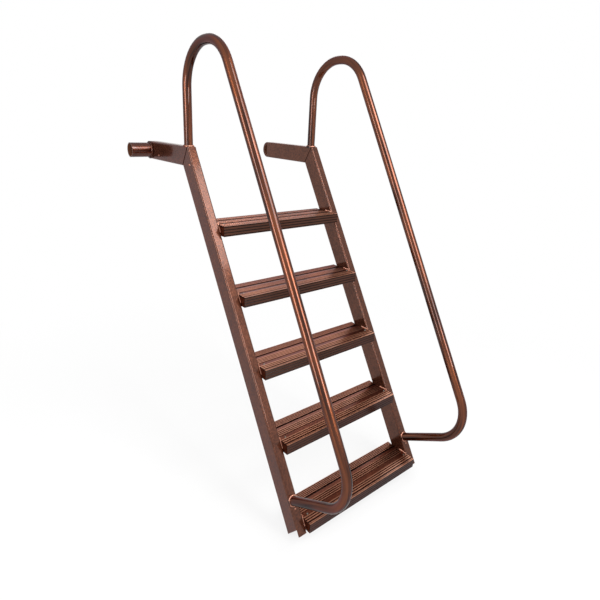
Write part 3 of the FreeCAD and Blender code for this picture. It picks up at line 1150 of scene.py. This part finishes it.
@dataclass
class Studio:
    """The photograph's viewpoint, a pale floor and soft lamps.

    Attributes:
        azimuth_deg: The direction of view, counted from +Y towards -X.
        elevation_deg: How far the view looks down.
        roll_deg: The camera's roll.
        place_mm: Where the camera stands.
        lens_mm: The lens.
        sensor_mm: The width of the sensor behind it.
        shift: The frame's shift, as a share of its width.
        floor_size: The floor's side, in metres.
        floor_gap: How far the floor lies under the feet, in metres.
        floor_colour: The floor's pale grey.
        floor_white: How much of the floor is plain white near the ladder, where it keeps the shadow.
        floor_plain_m: How far from the ladder it starts to fade, and how far away it is all plain white.
        floor_middle: Where that distance is measured from, as X and Y in metres.
        surround: Strength of the white surround.
        lamps: The soft lamps.
    """

    azimuth_deg: float = -39.97
    elevation_deg: float = 19.79
    roll_deg: float = 2.78
    place_mm: tuple[float, float, float] = (-889.4, -1924.2, 192.7)
    lens_mm: float = 28.32
    sensor_mm: float = 36.0
    shift: tuple[float, float] = (0.0079, -0.0180)
    floor_size: float = 60.0
    floor_gap: float = 0.0005
    floor_colour: str = "#cccccc"
    floor_white: float = 0.80
    floor_plain_m: tuple[float, float] = (0.9, 2.6)
    floor_middle: tuple[float, float] = (0.3, -0.8)
    surround: float = 1.0
    lamps: list[Lamp] = field(default_factory=lambda: [
        Lamp("high softbox", (1.3, -2.1, 1.75), (0.1, -0.4, 0.0), (0.9, 0.95), 18),
        Lamp("tall front panel", (0.68, -2.85, 1.6), (0.68, -0.43, -0.17), (1.05, 3.2), 112),
        Lamp("left strip", (-2.9, -0.85, 0.4), (0.0, -0.8, -0.3), (0.75, 2.8), 72, lean_deg=31.0),
        Lamp("back panel", (2.0, 1.1, 1.02), (0.3, -0.7, -0.8), (1.9, 1.3), 13),
    ])

    def add_camera(self) -> None:
        """Place the camera and make it the scene's own."""
        turn = math.radians(self.azimuth_deg)
        tilt = math.radians(self.elevation_deg)
        roll = math.radians(self.roll_deg)
        flat = math.cos(tilt)
        back = Vector((math.sin(turn) * flat, -math.cos(turn) * flat, math.sin(tilt)))
        level = Vector((math.cos(turn), math.sin(turn), 0))
        upright = back.cross(level)
        right = level * math.cos(roll) + upright * math.sin(roll)
        up = upright * math.cos(roll) - level * math.sin(roll)
        data = bpy.data.cameras.new("camera")
        data.lens = self.lens_mm
        data.sensor_width = self.sensor_mm
        data.shift_x, data.shift_y = self.shift
        camera = bpy.data.objects.new("camera", data)
        place = Matrix((right, up, back)).transposed().to_4x4()
        place.translation = Vector(self.place_mm) * MM
        camera.matrix_world = place
        bpy.context.scene.collection.objects.link(camera)
        bpy.context.scene.camera = camera

    @staticmethod
    def seen_rays(tree: NodeTree) -> Socket:
        """Tell the rays that see the background: straight ones, reflected ones and those through glass.

        Args:
            tree: The node tree that asks.

        Returns:
            A socket that is 1 for those rays.
        """
        rays = add_node(tree, "ShaderNodeLightPath")
        reflected = add_node(tree, "ShaderNodeMath", {
            0: rays.outputs["Is Glossy Ray"], 1: rays.outputs["Is Transmission Ray"]}, operation="MAXIMUM")
        seen = add_node(tree, "ShaderNodeMath", {
            0: rays.outputs["Is Camera Ray"], 1: reflected.outputs["Value"]}, operation="MAXIMUM")
        return seen.outputs["Value"]

    def add_floor(self, lowest: float) -> None:
        """Lay a pale floor just under the rails' feet.

        Args:
            lowest: The height of the object's lowest point.
        """
        Bench.start()
        bpy.ops.mesh.primitive_plane_add(size=self.floor_size, location=(0, 0, lowest - self.floor_gap))
        floor = bpy.context.object
        floor.name = "floor"
        material = empty_material("pale floor")
        tree = material.node_tree
        where = add_node(tree, "ShaderNodeTexCoord").outputs["Object"]
        away = add_node(tree, "ShaderNodeVectorMath", {
            0: where, 1: (*self.floor_middle, 0)}, operation="DISTANCE")
        plain = add_node(tree, "ShaderNodeMapRange", {
            "Value": away.outputs["Value"], "From Min": self.floor_plain_m[0],
            "From Max": self.floor_plain_m[1], "To Min": self.floor_white, "To Max": 1.0},
            interpolation_type="SMOOTHSTEP")
        paper = add_node(tree, "ShaderNodeBsdfDiffuse", {"Color": linear(self.floor_colour)})
        white = add_node(tree, "ShaderNodeEmission", {"Color": WHITE, "Strength": 1.0})
        share = add_node(tree, "ShaderNodeMath", {
            0: self.seen_rays(tree), 1: plain.outputs["Result"]}, operation="MULTIPLY")
        mixed = add_node(tree, "ShaderNodeMixShader", {
            0: share.outputs["Value"], 1: paper.outputs["BSDF"], 2: white.outputs["Emission"]})
        add_node(tree, "ShaderNodeOutputMaterial", {"Surface": mixed.outputs["Shader"]})
        floor.data.materials.append(material)
        floor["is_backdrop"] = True

    def add_world(self) -> None:
        """Put a plain white surround behind and around the ladder."""
        world = bpy.data.worlds.new("studio")
        bpy.context.scene.world = world
        world.use_nodes = True
        tree = world.node_tree
        tree.nodes.clear()
        light = add_node(tree, "ShaderNodeBackground", {"Color": WHITE, "Strength": self.surround})
        add_node(tree, "ShaderNodeOutputWorld", {"Surface": light.outputs["Background"]})

    def build(self, lowest: float) -> None:
        """Set up camera, floor, surround and lamps.

        Args:
            lowest: The height of the object's lowest point.
        """
        self.add_camera()
        self.add_floor(lowest)
        self.add_world()
        for lamp in self.lamps:
            lamp.build()
        bpy.context.scene.view_settings.view_transform = "Standard"


def main() -> None:
    """Dress the ladder, fit what stands on it and set up its studio."""
    logging.basicConfig(level=logging.INFO, format="%(message)s")
    start_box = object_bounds()
    finishes = Finishes()
    materials = finishes.build()
    FrameNodes().dress(materials, finishes)
    TreadFittings().build(materials[Surface.WELD], finishes.steel.material())
    RailFittings().build(materials)
    Studio().build(start_box[0][2])


if __name__ == "__main__":
    main()
